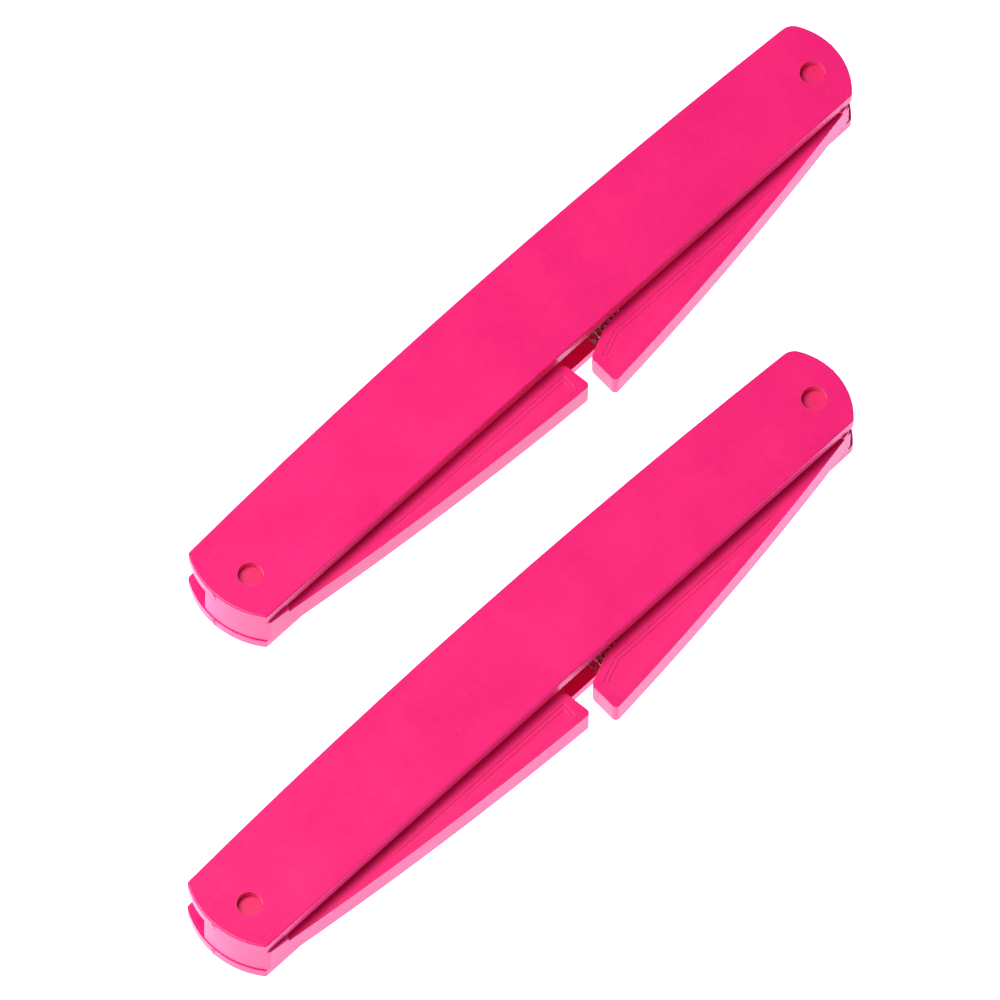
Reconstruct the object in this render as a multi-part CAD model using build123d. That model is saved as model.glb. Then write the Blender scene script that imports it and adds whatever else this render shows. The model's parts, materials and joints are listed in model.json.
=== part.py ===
from build123d import *
import os
from math import atan2, cos, degrees, radians, sin

# A pair of skate blade guards, each lying on its side. Millimetres.
# Each guard is drawn in its own frame: X along the guard with the middle at 0, the two hinge pins on
# Y = 0, the blade slot's mouth towards +Y, the hinged sole arms towards -Y, the resting face at Z = 0.
# The heel end is at -X and the toe end at +X. An arm is drawn closed, with its pin at the origin and
# its free end towards +X; the toe end's pieces are mirrored into place.

ENDS = ("heel", "toe")

# ---- body of one guard ----
pin_span = 200.0            # between the two hinge pins
plate_thickness = 3.5
slot_width = 11.2           # gap between the two side plates, where the blade goes
edge_to_pins = 11.4         # straight sole edge, below the line of the pins
crown_height = 17.6         # convex mouth edge above the line of the pins, at the middle
rim_radius = 0.45           # rounding of the plates' outer faces
gate_radius = 0.8           # moulding gate left on each end edge
gate_proud = 0.3
gate_height = 2.4           # above the line of the pins

# The plates' ends, measured from their own hinge pin.
corner_overhang = {"heel": 7.0, "toe": 5.4}     # mouth corner beyond the pin
corner_drop = {"heel": 2.3, "toe": 3.6}         # mouth corner below the crown
tip_overhang = {"heel": 10.4, "toe": 9.1}       # tip of the end arc beyond the pin
sole_overhang = {"heel": 5.4, "toe": 2.8}       # sole corner beyond the pin
mouth_corner_radius = {"heel": 1.2, "toe": 4.2}
sole_corner_radius = {"heel": 1.2, "toe": 1.8}
tip_height = 2.0                                # tip above the line of the pins

# ---- hinge pins ----
pin_diameter = 6.6
pin_recess = 2.2            # pin ends below the plates' outer faces
pin_chamfer = 0.3
running_clearance = 0.06    # radial, arm hub on pin

# ---- sole arms ----
meeting_point = 2.15        # where the closed arms' ends meet, towards the toe from the middle
meeting_gap = 0.95          # between the closed arms' ends
arm_inner = 0.2             # inner edge below the line of the pins
hub_proud = {"heel": 0.9, "toe": 0.3}           # outer edge beyond the plates' edge, at the hub
middle_proud = 1.4
tip_proud = {"heel": -0.3, "toe": 0.2}
arm_nose_height = 2.5       # where the inner edge's slanted nose meets the end face
arm_nose_length = 9.0
arm_nose_slant = 1.7
nose_radii = (4.0, 1.8, 1.3)
hub_side_clearance = 0.25   # each side, hub to plate
hub_shoulder = 1.55         # thick hub beyond the arm's face, each side
hub_end_inset = {"heel": 0.3, "toe": 1.1}       # hub's end face inside the plates' end arc at rest
hub_corner_radius = {"heel": 1.0, "toe": 2.2}
hub_top_radius = 1.4
hub_rim_radius = 0.4        # round the hub's two faces
hub_wall = 2.7              # over the pin, towards the slot
hub_reach = 7.5             # thick hub, past the pin
hub_ramp = 5.5
hub_step = 2.6              # thick hub's step at the outer edge, past the pin
coil_room = 0.3             # trough beside the coil, each side
trough_start = 17.0
trough_end_wall = 7.6
sole_wall = 3.2
rib_count = 4
rib_thickness = 1.2
rib_drop = 6.3              # top of the ribs below the arm's inner edge
panel_margin = 2.3          # plain border round the sunk panel on each face
panel_depth = 0.25
panel_step = 1.1            # second border inside the first
panel_from_plates = 2.7     # the panel's straight border, clear of the plates' sole edge at rest
panel_end_gap = 3.6
rest_angle = {"heel": 5.6, "toe": 7.8}          # how far each arm stands open at rest, degrees

# ---- springs and what holds them ----
coil_diameter = 4.4
wire_diameter = 0.7
spring_end = 7.4            # coil's arm end, short of the arm's free end
coil_over_arm = 0.3         # coil clear of the arm's inner edge there
leg_hole_diameter = 1.0
leg_hole_depth = 2.5
leg_hole_end = 6.6          # from the arm's free end
post_from_pin = 42.0
post_drop = 3.0             # below the line of the pins
post_diameter = 2.4
post_notch_clearance = 0.3
post_coil_gap = 0.6

# ---- pieces between the plates ----
blade_lift = 1.5            # blade rest above the closed arms' hubs
saddle_start = 14.5         # from the pin
saddle_length = 23.0
saddle_depth = 3.6
bridge_length = 10.0
bridge_depth = 3.7
peg_diameter = 3.0
peg_depth = 1.6             # pegs and posts, into each plate
peg_inset = 4.0             # outer pegs from a saddle's end
bridge_peg_inset = 2.5
block_edge_radius = 0.5

# ---- where the second guard lies, from the first ----
pair_shift_x = -64.3
pair_shift_y = -64.8

guard_thickness = 2 * plate_thickness + slot_width
middle_z = guard_thickness / 2
half_span = pin_span / 2
arm_length = {                  # pin to free end
    "heel": half_span + meeting_point - meeting_gap / 2,
    "toe": half_span - meeting_point - meeting_gap / 2,
}
hub_thickness = slot_width - 2 * hub_side_clearance
arm_thickness = hub_thickness - 2 * hub_shoulder
arm_outer_middle = edge_to_pins + middle_proud
trough_width = coil_diameter + 2 * coil_room
hub_top = pin_diameter / 2 + hub_wall
floor_height = hub_top + blade_lift


def flat_piece(outline, thickness):
    """A flat piece of the given outline, centred on Z = 0."""
    return extrude(outline, thickness / 2, both=True)


def upright_edges(shape):
    return shape.edges().filter_by(Axis.Z)


def corner_near(shape, x, y):
    """The upright edge of a flat piece that stands nearest to (x, y)."""
    return upright_edges(shape).sort_by_distance(Vector(x, y, 0))[0]


# ---- side plates ----
def end_arc(end):
    """The plates' end arc in its pin's frame, drawn as at the heel: mouth corner, tip, sole corner."""
    mouth = (-corner_overhang[end], crown_height - corner_drop[end])
    tip = (-tip_overhang[end], tip_height)
    sole = (-sole_overhang[end], -edge_to_pins)
    return mouth, tip, sole


def plate_corners():
    """Mouth and sole corners of both ends in the guard's frame, with the radius of each."""
    corners = {}
    for end, side in zip(ENDS, (-1, 1)):
        mouth, tip, sole = end_arc(end)
        mouth, tip, sole = [(side * (half_span - x), y) for x, y in (mouth, tip, sole)]
        corners[end] = mouth, tip, sole
    return corners


def plate_outline():
    corners = plate_corners()
    heel_mouth, heel_tip, heel_sole = corners["heel"]
    toe_mouth, toe_tip, toe_sole = corners["toe"]
    crown = ThreePointArc(heel_mouth, (0, crown_height), toe_mouth)
    toe_end = ThreePointArc(toe_mouth, toe_tip, toe_sole)
    sole = Line(toe_sole, heel_sole)
    heel_end = ThreePointArc(heel_sole, heel_tip, heel_mouth)
    return make_face([crown, toe_end, sole, heel_end])


def peg_places():
    """Centres of the blind holes for the blocks' pegs."""
    first = half_span - saddle_start - peg_inset
    last = half_span - saddle_start - saddle_length + peg_inset
    bridge = bridge_length / 2 - bridge_peg_inset
    rows = [(x, floor_height - saddle_depth / 2) for x in (-first, -last, last, first)]
    rows += [(x, floor_height - bridge_depth / 2) for x in (-bridge, bridge)]
    return rows


def post_places():
    x = half_span - post_from_pin
    return [(-x, -post_drop), (x, -post_drop)]


def lower_plate():
    plate = extrude(plate_outline(), plate_thickness)
    for end, (mouth, tip, sole) in plate_corners().items():
        plate = fillet(corner_near(plate, *mouth), mouth_corner_radius[end])
        plate = fillet(corner_near(plate, *sole), sole_corner_radius[end])
    plate = fillet(plate.faces().sort_by(Axis.Z)[0].outer_wire().edges(), rim_radius)
    for end, side in zip(ENDS, (-1, 1)):
        x_gate = half_span + tip_overhang[end] + gate_proud - gate_radius
        gate = Cylinder(gate_radius, plate_thickness / 2, align=(Align.CENTER, Align.CENTER, Align.MIN))
        plate += Pos(side * x_gate, gate_height, plate_thickness / 4) * gate
        plate -= Pos(side * half_span, 0, plate_thickness / 2) * Cylinder(pin_diameter / 2, plate_thickness)
    blind = (Align.CENTER, Align.CENTER, Align.MIN)
    for x, y in peg_places():
        plate -= Pos(x, y, plate_thickness - peg_depth) * Cylinder(peg_diameter / 2, peg_depth, align=blind)
    for x, y in post_places():
        plate -= Pos(x, y, plate_thickness - peg_depth) * Cylinder(post_diameter / 2, peg_depth, align=blind)
    return plate


def upper_plate():
    return Pos(0, 0, guard_thickness) * mirror(lower_plate(), about=Plane.XY)


# ---- sole arms ----
def outer_edge_arc(end):
    """The arm's slightly crowned outer edge: its start at the hub, its middle and its end."""
    length = arm_length[end]
    start = (hub_step, -edge_to_pins - hub_proud[end])
    return start, (length / 2, -arm_outer_middle), (length, -edge_to_pins - tip_proud[end])


def arm_outline(end):
    start, middle, tip = outer_edge_arc(end)
    nose_x = arm_length[end] - arm_nose_slant
    nose_in = (nose_x - arm_nose_length, -arm_inner)
    return make_face([
        Polyline((0, -arm_inner), nose_in, (nose_x, -arm_nose_height), tip),
        ThreePointArc(tip, middle, start),
        Polyline(start, (0, start[1]), (0, -arm_inner)),
    ])


def arm_beam(end):
    beam = flat_piece(arm_outline(end), arm_thickness)
    nose_x = arm_length[end] - arm_nose_slant
    corners = (
        (nose_x - arm_nose_length, -arm_inner),
        (nose_x, -arm_nose_height),
        outer_edge_arc(end)[2],
    )
    for (x, y), radius in zip(corners, nose_radii):
        beam = fillet(corner_near(beam, x, y), radius)
    return beam


def sunk_panel(end, step):
    """The cut for one step of the panel, on both faces: its slanting border is level at rest."""
    inside = step * panel_step
    band = offset(arm_outline(end), -panel_margin - inside, kind=Kind.INTERSECTION)
    length = arm_length[end] - panel_end_gap - inside
    top = -edge_to_pins - panel_from_plates - inside
    level = Pos(length / 2, top - arm_outer_middle / 2) * Rectangle(2 * length, arm_outer_middle)
    end_cut = Pos(length / 2, -arm_outer_middle / 2) * Rectangle(length, 2 * arm_outer_middle)
    panel = band & (Rot(0, 0, rest_angle[end]) * level) & end_cut
    depth = (step + 1) * panel_depth
    cut = extrude(panel, depth)
    top_cut = Pos(0, 0, arm_thickness / 2 - depth) * cut
    return top_cut + mirror(top_cut, about=Plane.XY)


def hub_outline(end):
    """Thick end of the arm, round the pin. Its end face follows the plates' end arc, set in, at rest."""
    arc = Edge.make_three_point_arc(*[Vector(x, y) for x, y in end_arc(end)])
    inside = Pos(*arc.arc_center) * Circle(arc.radius - hub_end_inset[end])
    outer = -edge_to_pins - hub_proud[end]
    reach = 2 * tip_overhang[end]
    block = make_face(Polyline(
        (-reach, hub_top), (-reach, outer), (hub_step, outer), (hub_reach, -arm_inner),
        (hub_reach, hub_top), (-reach, hub_top),
    ))
    return (Rot(0, 0, rest_angle[end]) * inside) & block


def hub_ramp_outline():
    """The slope from the hub's top down to the arm's inner edge, as thick as the arm."""
    return make_face(Polyline(
        (0, hub_top), (hub_reach, hub_top), (hub_reach + hub_ramp, -arm_inner),
        (hub_reach + hub_ramp, -hub_wall), (0, -hub_wall), (0, hub_top),
    ))


def arm_trough(end):
    """The cored-out inside, with ribs left standing across it."""
    start, middle, tip = outer_edge_arc(end)
    right = arm_length[end] - trough_end_wall
    core = make_face(Polyline(
        (trough_start, 0), (right, 0), (right, tip[1] + sole_wall),
        (middle[0], middle[1] + sole_wall), (trough_start, start[1] + sole_wall),
        (trough_start, 0),
    ))
    trough = flat_piece(core, trough_width)
    pitch = (right - trough_start) / (rib_count + 1)
    rib_height = arm_outer_middle - arm_inner - rib_drop
    for i in range(rib_count):
        x = trough_start + (i + 1) * pitch
        y = -arm_inner - rib_drop - rib_height / 2
        trough -= Pos(x, y, 0) * Box(rib_thickness, rib_height, trough_width)
    return trough


def post_notch():
    """Room in the arm for the spring post, and the stop where the arm closes on it."""
    radius = post_diameter / 2 + post_notch_clearance
    width = 2 * radius
    slot = Pos(post_from_pin, -post_drop / 2, 0) * Box(width, post_drop, arm_thickness)
    return slot + Pos(post_from_pin, -post_drop, 0) * Cylinder(radius, arm_thickness)


def arm_closed(end):
    arm = arm_beam(end) - sunk_panel(end, 0) - sunk_panel(end, 1)
    arm += flat_piece(hub_ramp_outline(), arm_thickness)
    hub = flat_piece(hub_outline(end), hub_thickness)
    hub = fillet(corner_near(hub, -tip_overhang[end], hub_top), hub_top_radius)
    hub = fillet(corner_near(hub, -sole_overhang[end], -edge_to_pins), hub_corner_radius[end])
    for face in (hub.faces().sort_by(Axis.Z)[0], hub.faces().sort_by(Axis.Z)[-1]):
        hub = fillet(face.edges(), hub_rim_radius)
    arm += hub
    arm -= arm_trough(end)
    arm -= post_notch()
    arm -= Cylinder(pin_diameter / 2 + running_clearance, hub_thickness)
    hole = Cylinder(leg_hole_diameter / 2, 2 * leg_hole_depth)
    return arm - Pos(arm_length[end] - leg_hole_end, -arm_nose_height, 0) * Rot(90, 0, 0) * hole


# ---- pins, posts, blocks and springs ----
def hinge_pin():
    length = guard_thickness - 2 * pin_recess
    pin = Cylinder(pin_diameter / 2, length)
    return chamfer(pin.edges().filter_by(GeomType.CIRCLE), pin_chamfer)


def spring_post():
    return Cylinder(post_diameter / 2, slot_width + 2 * peg_depth)


def block(length, depth, pegs):
    """A block between the plates, its top at Y = 0, with pegs standing out of both sides."""
    body = Pos(0, -depth / 2, 0) * Box(length, depth, slot_width)
    body = fillet(upright_edges(body), block_edge_radius)
    for x in pegs:
        body += Pos(x, -depth / 2, 0) * Cylinder(peg_diameter / 2, slot_width + 2 * peg_depth)
    return body


def saddle():
    peg = saddle_length / 2 - peg_inset
    return block(saddle_length, saddle_depth, (-peg, peg))


def bridge():
    peg = bridge_length / 2 - bridge_peg_inset
    return block(bridge_length, bridge_depth, (-peg, peg))


def spring_line(end):
    """The coil's two ends in its pin's frame, with the arm standing open at rest."""
    x = arm_length[end] - spring_end
    y = coil_diameter / 2 + coil_over_arm - arm_inner
    a = radians(-rest_angle[end])
    arm_end = Vector(x * cos(a) - y * sin(a), x * sin(a) + y * cos(a))
    post = Vector(post_from_pin, -post_drop)
    along = (arm_end - post).normalized()
    post_end = post + along * (post_diameter / 2 + post_coil_gap)
    return post_end, arm_end


def spring(end):
    """The space of the extension spring: a tube as wide and as long as its coil."""
    post_end, arm_end = spring_line(end)
    length = (arm_end - post_end).length
    tube = Cylinder(coil_diameter / 2, length) - Cylinder(coil_diameter / 2 - wire_diameter, length)
    middle = (post_end + arm_end) / 2
    slope = degrees(atan2(arm_end.Y - post_end.Y, arm_end.X - post_end.X))
    return Pos(middle.X, middle.Y, 0) * Rot(0, 0, slope) * Rot(0, 90, 0) * tube


# ---- one guard, as named pieces ----
def at_end(piece, end):
    """Moves a piece from a heel pin's frame to the heel or the toe end of the guard."""
    placed = Pos(-half_span, 0, middle_z) * piece
    return placed if end == "heel" else mirror(placed, about=Plane.YZ)


def guard_pieces():
    pieces = {
        "lower_plate": lower_plate(),
        "upper_plate": upper_plate(),
        "centre_bridge": Pos(0, floor_height, middle_z) * bridge(),
    }
    saddle_x = saddle_start + saddle_length / 2
    for end in ENDS:
        pieces[end + "_arm"] = at_end(Rot(0, 0, -rest_angle[end]) * arm_closed(end), end)
        pieces[end + "_hinge_pin"] = at_end(hinge_pin(), end)
        pieces[end + "_spring_post"] = at_end(Pos(post_from_pin, -post_drop, 0) * spring_post(), end)
        pieces[end + "_saddle"] = at_end(Pos(saddle_x, floor_height, 0) * saddle(), end)
        pieces[end + "_spring"] = at_end(spring(end), end)
    return pieces


# ---- the pair, centred on its own box ----
guard = guard_pieces()
box = Compound(list(guard.values())).bounding_box()
centre_x = (box.min.X + box.max.X + pair_shift_x) / 2
centre_y = (box.min.Y + box.max.Y + pair_shift_y) / 2
places = {
    "left": (-centre_x, -centre_y),
    "right": (pair_shift_x - centre_x, pair_shift_y - centre_y),
}

os.makedirs("parts", exist_ok=True)
for side, (x, y) in places.items():
    print(f"{side} guard: middle of the pins' line at {x:.4f}, {y:.4f}")
    for name, piece in guard.items():
        export_step(Pos(x, y, 0) * piece, f"parts/{side}_{name}.step")
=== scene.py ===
import json
from math import cos, pi, radians, sin

import bpy
from mathutils import Matrix, Vector


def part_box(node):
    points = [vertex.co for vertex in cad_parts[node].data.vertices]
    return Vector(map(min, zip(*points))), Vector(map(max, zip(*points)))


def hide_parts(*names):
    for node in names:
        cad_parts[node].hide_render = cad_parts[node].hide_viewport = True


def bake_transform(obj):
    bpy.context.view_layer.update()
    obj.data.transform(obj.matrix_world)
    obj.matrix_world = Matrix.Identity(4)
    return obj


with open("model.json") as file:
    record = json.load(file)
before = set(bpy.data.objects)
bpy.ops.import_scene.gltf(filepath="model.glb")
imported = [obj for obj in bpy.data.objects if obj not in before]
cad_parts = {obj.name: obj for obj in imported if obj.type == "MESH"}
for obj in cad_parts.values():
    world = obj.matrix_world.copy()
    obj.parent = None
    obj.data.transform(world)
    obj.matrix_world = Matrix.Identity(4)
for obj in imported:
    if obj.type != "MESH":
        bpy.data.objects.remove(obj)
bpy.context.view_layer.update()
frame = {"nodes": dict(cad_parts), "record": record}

MM = 0.001
SIDES = ("left", "right")
ENDS = ("heel", "toe")

# ---- camera: a long lens, so that both guards look the same size ----
CAMERA_AZIMUTH = -45.92
CAMERA_ELEVATION = 64.6
CAMERA_ROLL = 1.21
CAMERA_DISTANCE = 10.0
CAMERA_LENS = 1427.1
CAMERA_TARGET = (-0.0017, 0.0125, 0.0)    # from the middle of the pair's footprint
CAMERA_NEAR = 0.1
CAMERA_FAR = 50

# ---- studio: a white floor, a dim sky and one soft box ----
FLOOR_HALF = 3.0
FLOOR_GREY = 0.3
FLOOR_ROUGHNESS = 0.9
FLOOR_GLOW = (0.78, 0.79, 1.0)            # a little blue, and strong enough to show as white
FLOOR_GLOW_STRENGTH = 1.72
SKY_STRENGTH = 0.2
SOFT_BOX_AZIMUTH = -130
SOFT_BOX_ELEVATION = 65
SOFT_BOX_DISTANCE = 1.4
SOFT_BOX_SIZE = 0.7
SOFT_BOX_POWER = 19.5

# ---- plastic ----
PLASTIC_IOR = 1.5
VEIL_WEIGHT = 0.5                         # pale violet veil where the surface is seen at a slant
VEIL_ROUGHNESS = 0.35
VEIL_TINT = (1.0, 0.68, 1.0)
WORN_EDGE_WIDTH = 0.35 * MM
WORN_EDGE_COLOUR = (1.0, 0.22, 0.42)
WORN_EDGE_SHARE = 0.45
MOTTLE_SHARE = 0.35
SCUFF_ROUGHNESS = 0.09
SCUFF_DEPTH = 0.35
PLASTIC_BUMP = 0.35
STEEL_BUMP = 0.3
STEEL_BUMP_HEIGHT = 0.015 * MM

# ---- springs ----
WIRE_DIAMETER = 0.75 * MM
COIL_PITCH = 1.8 * MM
HOOK_CLEARANCE = 0.1 * MM
LEG_DEPTH = 2.0 * MM
LEG_POINTS = 4
HOOK_START = 100                          # degrees, of the wire's end round the post
HOOK_SWEEP = 230
HOOK_POINTS = 16
POINTS_A_TURN = 20
WIRE_SIDES = 10


# ---- materials ----
def new_material(name):
    material = bpy.data.materials.new(name)
    material.use_nodes = True
    tree = material.node_tree
    return material, tree, tree.nodes["Principled BSDF"]


def add(tree, kind, **settings):
    node = tree.nodes.new(kind)
    for key, value in settings.items():
        if hasattr(node, key):
            setattr(node, key, value)
        else:
            node.inputs[key.replace("_", " ")].default_value = value
    return node


def noise(tree, coordinates, scale, detail=3.0, stretch=None):
    """Noise of the given scale, about so many features a metre, drawn out along X by stretch."""
    if stretch is not None:
        mapping = add(tree, "ShaderNodeMapping")
        mapping.inputs["Scale"].default_value = (1 / stretch, 1, 1)
        tree.links.new(coordinates, mapping.inputs["Vector"])
        coordinates = mapping.outputs["Vector"]
    texture = add(tree, "ShaderNodeTexNoise", Scale=scale, Detail=detail)
    tree.links.new(coordinates, texture.inputs["Vector"])
    return texture.outputs["Fac"]


def remap(tree, value, low, high, to_low, to_high):
    node = add(tree, "ShaderNodeMapRange")
    for name, number in (("From Min", low), ("From Max", high), ("To Min", to_low), ("To Max", to_high)):
        node.inputs[name].default_value = number
    tree.links.new(value, node.inputs["Value"])
    return node.outputs["Result"]


def mix_colour(tree, factor, first, second):
    node = add(tree, "ShaderNodeMix", data_type="RGBA")
    tree.links.new(factor, node.inputs["Factor"])
    for socket, colour in ((node.inputs[6], first), (node.inputs[7], second)):
        if isinstance(colour, tuple):
            socket.default_value = (*colour, 1)
        else:
            tree.links.new(colour, socket)
    return node.outputs[2]


def combine(tree, operation, first, second):
    node = add(tree, "ShaderNodeMath", operation=operation)
    for socket, value in zip(node.inputs, (first, second)):
        if isinstance(value, (int, float)):
            socket.default_value = value
        else:
            tree.links.new(value, socket)
    return node.outputs[0]


def edge_mask(tree, radius):
    """1 along a worn edge, 0 on the flat: how far the rounded normal leans from the true one."""
    bevel = add(tree, "ShaderNodeBevel", samples=6, Radius=radius)
    geometry = add(tree, "ShaderNodeNewGeometry")
    dot = add(tree, "ShaderNodeVectorMath", operation="DOT_PRODUCT")
    tree.links.new(bevel.outputs["Normal"], dot.inputs[0])
    tree.links.new(geometry.outputs["Normal"], dot.inputs[1])
    return remap(tree, dot.outputs["Value"], 0.97, 0.75, 0.0, 1.0)


def pink_plastic(name, colour, roughness, grain=0.02):
    """Moulded satin plastic: mottled colour, fine grain of the given depth in mm, faint scuffs, edges
    rubbed paler."""
    material, tree, shader = new_material(name)
    place = add(tree, "ShaderNodeTexCoord").outputs["Object"]
    deep = tuple(c * 0.93 for c in colour)
    pale = tuple(min(1.0, c * 1.04 + 0.012) for c in colour)
    clouds = remap(tree, noise(tree, place, 55), 0.35, 0.65, 0.0, 1.0)
    mottle = remap(tree, noise(tree, place, 900, 4), 0.3, 0.7, 0.0, 1.0)
    base = mix_colour(tree, clouds, deep, colour)
    base = mix_colour(tree, combine(tree, "MULTIPLY", mottle, MOTTLE_SHARE), base, pale)
    worn = combine(tree, "MULTIPLY", edge_mask(tree, WORN_EDGE_WIDTH), noise(tree, place, 700, 2))
    base = mix_colour(tree, combine(tree, "MULTIPLY", worn, WORN_EDGE_SHARE), base, WORN_EDGE_COLOUR)
    tree.links.new(base, shader.inputs["Base Color"])
    scuffs = remap(tree, noise(tree, place, 2500, 2, stretch=14), 0.62, 0.72, 0.0, 1.0)
    uneven = combine(tree, "ADD", remap(tree, clouds, 0, 1, roughness - 0.03, roughness + 0.04),
                     combine(tree, "MULTIPLY", scuffs, SCUFF_ROUGHNESS))
    tree.links.new(uneven, shader.inputs["Roughness"])
    fine = noise(tree, place, 4200, 3)
    height = combine(tree, "ADD", fine, combine(tree, "MULTIPLY", scuffs, -SCUFF_DEPTH))
    bump = add(tree, "ShaderNodeBump", Strength=PLASTIC_BUMP, Distance=grain * MM)
    tree.links.new(height, bump.inputs["Height"])
    tree.links.new(bump.outputs["Normal"], shader.inputs["Normal"])
    shader.inputs["IOR"].default_value = PLASTIC_IOR
    shader.inputs["Sheen Weight"].default_value = VEIL_WEIGHT
    shader.inputs["Sheen Roughness"].default_value = VEIL_ROUGHNESS
    shader.inputs["Sheen Tint"].default_value = (*VEIL_TINT, 1)
    return material


def drawn_steel(name, colour, roughness):
    """Bare spring wire or pin stock: drawing lines along it, slight tarnish."""
    material, tree, shader = new_material(name)
    place = add(tree, "ShaderNodeTexCoord").outputs["Object"]
    tarnish = remap(tree, noise(tree, place, 380, 4), 0.35, 0.7, 0.0, 1.0)
    dark = tuple(c * 0.7 for c in colour)
    tree.links.new(mix_colour(tree, tarnish, colour, dark), shader.inputs["Base Color"])
    streaks = noise(tree, place, 5200, 2, stretch=9)
    uneven = remap(tree, streaks, 0.3, 0.7, roughness - 0.08, roughness + 0.1)
    tree.links.new(uneven, shader.inputs["Roughness"])
    bump = add(tree, "ShaderNodeBump", Strength=STEEL_BUMP, Distance=STEEL_BUMP_HEIGHT)
    tree.links.new(streaks, bump.inputs["Height"])
    tree.links.new(bump.outputs["Normal"], shader.inputs["Normal"])
    shader.inputs["Metallic"].default_value = 1.0
    return material


side_plastic = pink_plastic("side_plastic", (0.97, 0.006, 0.185), 0.30)
arm_plastic = pink_plastic("arm_plastic", (0.96, 0.007, 0.185), 0.33, grain=0.03)
# pin_plastic is the plates' pink plastic made darker: a painted shade for the pin ends sunk in their
# recesses
pin_plastic = pink_plastic("pin_plastic", (0.80, 0.006, 0.14), 0.45, grain=0.03)
block_plastic = pink_plastic("block_plastic", (0.92, 0.006, 0.165), 0.4)
post_steel = drawn_steel("post_steel", (0.55, 0.54, 0.53), 0.32)
spring_steel = drawn_steel("spring_steel", (0.5, 0.46, 0.43), 0.34)

MATERIAL_OF_SLOT = {
    "side_plastic": side_plastic,
    "arm_plastic": arm_plastic,
    "pin_plastic": pin_plastic,
    "block_plastic": block_plastic,
    "post_steel": post_steel,
    "spring_steel": spring_steel,
}


def dress_nodes():
    """Every carried-over CAD node takes the material of its slot."""
    for entry in frame["record"]["subparts"]:
        node = frame["nodes"][entry["node"]]
        material = MATERIAL_OF_SLOT[entry["material_slot"]]
        for slot in node.material_slots:
            slot.link = "OBJECT"
            slot.material = material


# ---- springs ----
def tube_mesh(name, path, radius, sides=WIRE_SIDES):
    """A round wire along a list of points, with closed ends."""
    points = [Vector(p) for p in path]
    tangents = []
    for i in range(len(points)):
        before, after = points[max(i - 1, 0)], points[min(i + 1, len(points) - 1)]
        tangents.append((after - before).normalized())
    normal = tangents[0].orthogonal().normalized()
    vertices, faces = [], []
    for i, (point, tangent) in enumerate(zip(points, tangents)):
        if i:
            normal = tangents[i - 1].rotation_difference(tangent) @ normal
        normal = (normal - tangent * normal.dot(tangent)).normalized()
        other = tangent.cross(normal)
        for k in range(sides):
            a = 2 * pi * k / sides
            vertices.append(point + radius * (cos(a) * normal + sin(a) * other))
    for i in range(len(points) - 1):
        for k in range(sides):
            a, b = i * sides + k, i * sides + (k + 1) % sides
            faces.append((a, b, b + sides, a + sides))
    faces.append(tuple(reversed(range(sides))))
    faces.append(tuple(range(len(vertices) - sides, len(vertices))))
    mesh = bpy.data.meshes.new(name)
    mesh.from_pydata([tuple(v) for v in vertices], [], faces)
    mesh.shade_smooth()
    piece = bpy.data.objects.new(name, mesh)
    bpy.context.scene.collection.objects.link(piece)
    return piece


def coil_axis(node):
    """The two ends of a spring node's solid, and its outer radius, read from its mesh."""
    points = [v.co for v in frame["nodes"][node].data.vertices]
    centre = sum(points, Vector()) / len(points)
    far = max(points, key=lambda p: (p - centre).length)
    far_half = [p for p in points if (p - centre).dot(far - centre) > 0]
    end = sum(far_half, Vector()) / len(far_half)
    direction = (end - centre).normalized()
    along = [(p - centre).dot(direction) for p in points]
    outer = max((p - centre - direction * t).length for p, t in zip(points, along))
    return [centre + direction * min(along), centre + direction * max(along)], outer


def spring_path(post_end, arm_end, outer, post, post_radius):
    """Wire bent round the post, then the open coil."""
    axis = (arm_end - post_end).normalized()
    up = Vector((0, 0, 1))
    side = up.cross(axis)
    wire = WIRE_DIAMETER / 2
    coil_radius = outer - wire
    length = (arm_end - post_end).length
    turns = round(length / COIL_PITCH)
    hook_radius = post_radius + wire + HOOK_CLEARANCE
    path = []
    for i in range(HOOK_POINTS):
        a = radians(HOOK_START + HOOK_SWEEP * i / (HOOK_POINTS - 1))
        path.append(post + hook_radius * (cos(a) * axis * -1 + sin(a) * side * -1))
    first = post_end + coil_radius * side
    path.append(path[-1].lerp(first, 0.5))
    steps = turns * POINTS_A_TURN
    for i in range(steps + 1):
        a = 2 * pi * i / POINTS_A_TURN
        place = post_end + axis * (length * i / steps)
        path.append(place + coil_radius * (cos(a) * side + sin(a) * up))
    return path, coil_radius, axis


def make_spring(guard, end):
    """One spring's wire: its path from the post to the arm, then a leg bent into the arm's hole."""
    node = f"{guard}_{end}_spring"
    ends, outer = coil_axis(node)
    low, high = (Vector(p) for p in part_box(f"{guard}_{end}_spring_post"))
    post = (low + high) / 2
    post_radius = (high.x - low.x) / 2
    post_end, arm_end = sorted(ends, key=lambda p: (p - post).length)
    path, coil_radius, axis = spring_path(post_end, arm_end, outer, post, post_radius)
    outward = Vector((0, -1, 0))
    last = path[-1]
    foot = arm_end + outward * (coil_radius + LEG_DEPTH) + axis * WIRE_DIAMETER
    for i in range(LEG_POINTS):
        path.append(last.lerp(foot, (i + 1) / LEG_POINTS))
    piece = tube_mesh(f"{node}_coil", path, WIRE_DIAMETER / 2)
    piece.data.materials.append(spring_steel)
    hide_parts(node)
    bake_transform(piece)


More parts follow.
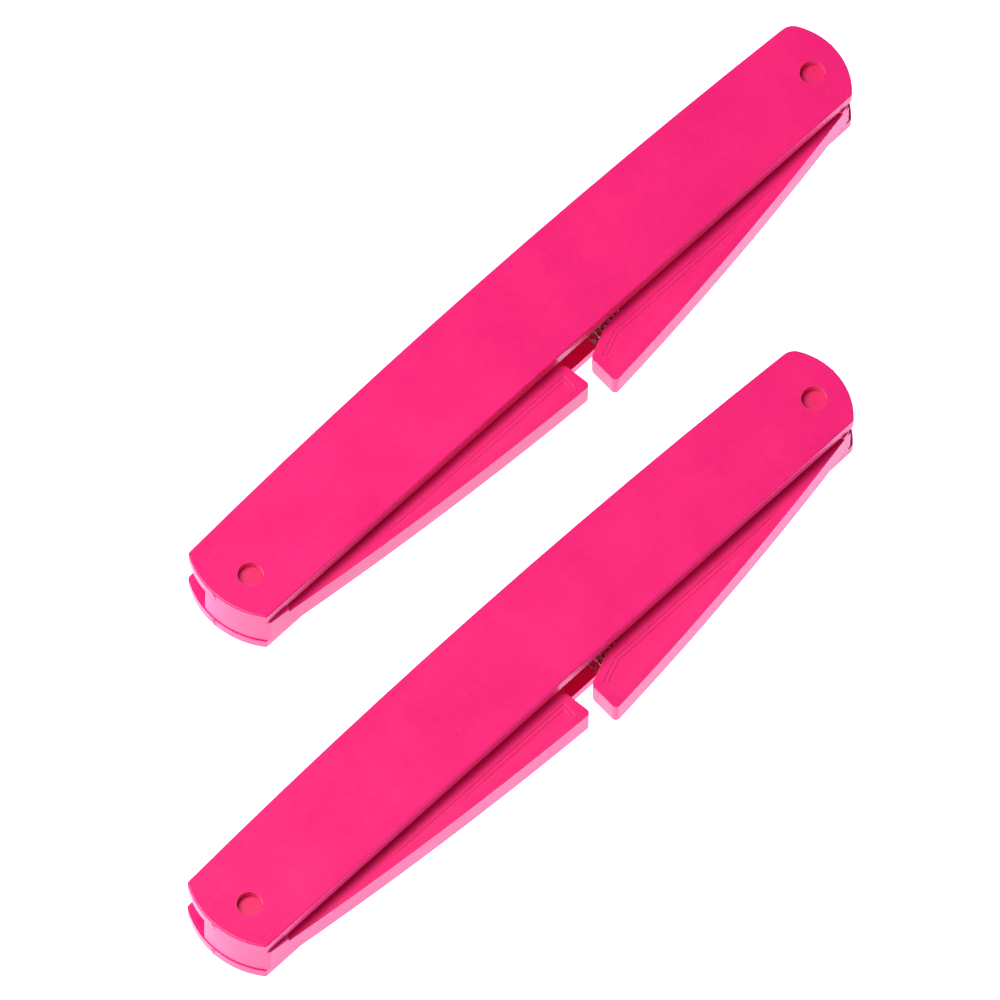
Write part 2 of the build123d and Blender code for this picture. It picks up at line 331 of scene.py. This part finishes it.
# ---- studio ----
def make_floor():
    mesh = bpy.data.meshes.new("floor")
    corners = [(FLOOR_HALF * x, FLOOR_HALF * y, 0) for x, y in ((-1, -1), (1, -1), (1, 1), (-1, 1))]
    mesh.from_pydata(corners, [], [(0, 1, 2, 3)])
    floor = bpy.data.objects.new("floor", mesh)
    bpy.context.scene.collection.objects.link(floor)
    material, _, shader = new_material("floor_white")
    shader.inputs["Base Color"].default_value = (FLOOR_GREY, FLOOR_GREY, FLOOR_GREY, 1)
    shader.inputs["Roughness"].default_value = FLOOR_ROUGHNESS
    shader.inputs["Emission Color"].default_value = (*FLOOR_GLOW, 1)
    shader.inputs["Emission Strength"].default_value = FLOOR_GLOW_STRENGTH
    mesh.materials.append(material)


def direction_to(azimuth, elevation):
    """From the pair towards a viewer or a light; azimuth 0 is in front, on the -Y side."""
    a, e = radians(azimuth), radians(elevation)
    return Vector((sin(a) * cos(e), -cos(a) * cos(e), sin(e)))


def make_soft_box():
    """A square light that looks at the middle of the pair."""
    back = direction_to(SOFT_BOX_AZIMUTH, SOFT_BOX_ELEVATION)
    data = bpy.data.lights.new("soft_box", "AREA")
    data.shape = "SQUARE"
    data.size = SOFT_BOX_SIZE
    data.energy = SOFT_BOX_POWER
    light = bpy.data.objects.new("soft_box", data)
    light.location = back * SOFT_BOX_DISTANCE
    light.rotation_mode = "QUATERNION"
    light.rotation_quaternion = back.to_track_quat("Z", "Y")
    bpy.context.scene.collection.objects.link(light)


def make_lights():
    world = bpy.data.worlds.new("studio")
    world.use_nodes = True
    background = world.node_tree.nodes["Background"]
    background.inputs["Color"].default_value = (1, 1, 1, 1)
    background.inputs["Strength"].default_value = SKY_STRENGTH
    bpy.context.scene.world = world
    make_soft_box()
    bpy.context.scene.view_settings.view_transform = "Standard"


def make_camera():
    back = direction_to(CAMERA_AZIMUTH, CAMERA_ELEVATION)
    data = bpy.data.cameras.new("camera")
    data.lens = CAMERA_LENS
    data.clip_start = CAMERA_NEAR
    data.clip_end = CAMERA_FAR
    camera = bpy.data.objects.new("camera", data)
    camera.location = Vector(CAMERA_TARGET) + back * CAMERA_DISTANCE
    camera.rotation_mode = "QUATERNION"
    roll = Matrix.Rotation(radians(CAMERA_ROLL), 3, back).to_quaternion()
    camera.rotation_quaternion = roll @ back.to_track_quat("Z", "Y")
    bpy.context.scene.collection.objects.link(camera)
    bpy.context.scene.camera = camera


make_camera()
make_lights()
make_floor()
dress_nodes()
for guard in SIDES:
    for end in ENDS:
        make_spring(guard, end)
